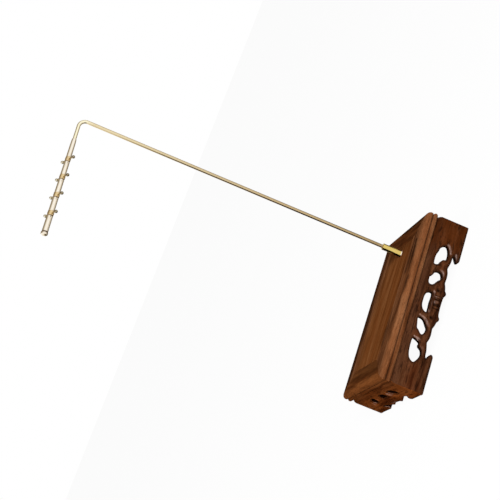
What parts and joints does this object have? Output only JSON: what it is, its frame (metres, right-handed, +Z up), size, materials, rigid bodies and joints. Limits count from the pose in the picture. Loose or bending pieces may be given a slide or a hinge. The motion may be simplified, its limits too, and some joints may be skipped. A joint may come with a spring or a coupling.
{
  "type": "brush hanging stand",
  "caption": "Hanging stand for writing brushes: carved openwork hardwood tray on bracket feet, bent brass post, tapered peg arm.",
  "frame": {"origin": "on the table under the middle of the tray", "axes": "+Z up; +X along the tray, towards the post; the long carved front faces -Y"},
  "size_m": [0.1744, 0.1062, 0.3806],
  "materials": {
    "dark_wood": "oiled and waxed",
    "panel_wood": "oiled and waxed",
    "block_wood": "sawn",
    "brass": "polished",
    "pale_brass": "polished"
  },
  "bodies": {
    "base": {"panel": "panel_wood", "front_rail": "dark_wood", "rear_rail": "dark_wood", "left_rail": "dark_wood", "right_rail": "dark_wood", "front_apron": "dark_wood", "rear_apron": "dark_wood", "left_apron": "dark_wood", "right_apron": "dark_wood", "corner_block_front_left": "block_wood", "corner_block_front_right": "block_wood", "corner_block_rear_left": "block_wood", "corner_block_rear_right": "block_wood"},
    "ferrule": {"ferrule": "brass"},
    "post": {"post_rod": "brass"},
    "arm": {"arm_sleeve": "pale_brass", "end_cap": "pale_brass", "peg_pin_1": "brass", "peg_pin_2": "brass", "peg_pin_3": "brass", "peg_pin_4": "brass", "peg_ball_front_1": "pale_brass", "peg_ball_front_2": "pale_brass", "peg_ball_front_3": "pale_brass", "peg_ball_front_4": "pale_brass", "peg_ball_rear_1": "pale_brass", "peg_ball_rear_2": "pale_brass", "peg_ball_rear_3": "pale_brass", "peg_ball_rear_4": "pale_brass"}
  },
  "joints": [
    {"name": "post_turn", "type": "hinge", "parent": "base", "child": "ferrule", "pos_m": [0.055, -0.005, 0.0437], "axis": [0, 0, 1], "continuous": true},
    {"name": "post_lift", "type": "slide", "parent": "ferrule", "child": "post", "axis": [0, 0, 1], "range_m": [0, 0.016]},
    {"name": "sleeve_turn", "type": "hinge", "parent": "post", "child": "arm", "pos_m": [0.055, -0.005, 0.3791], "axis": [-0.9947, 0, -0.1028], "continuous": true}
  ]
}
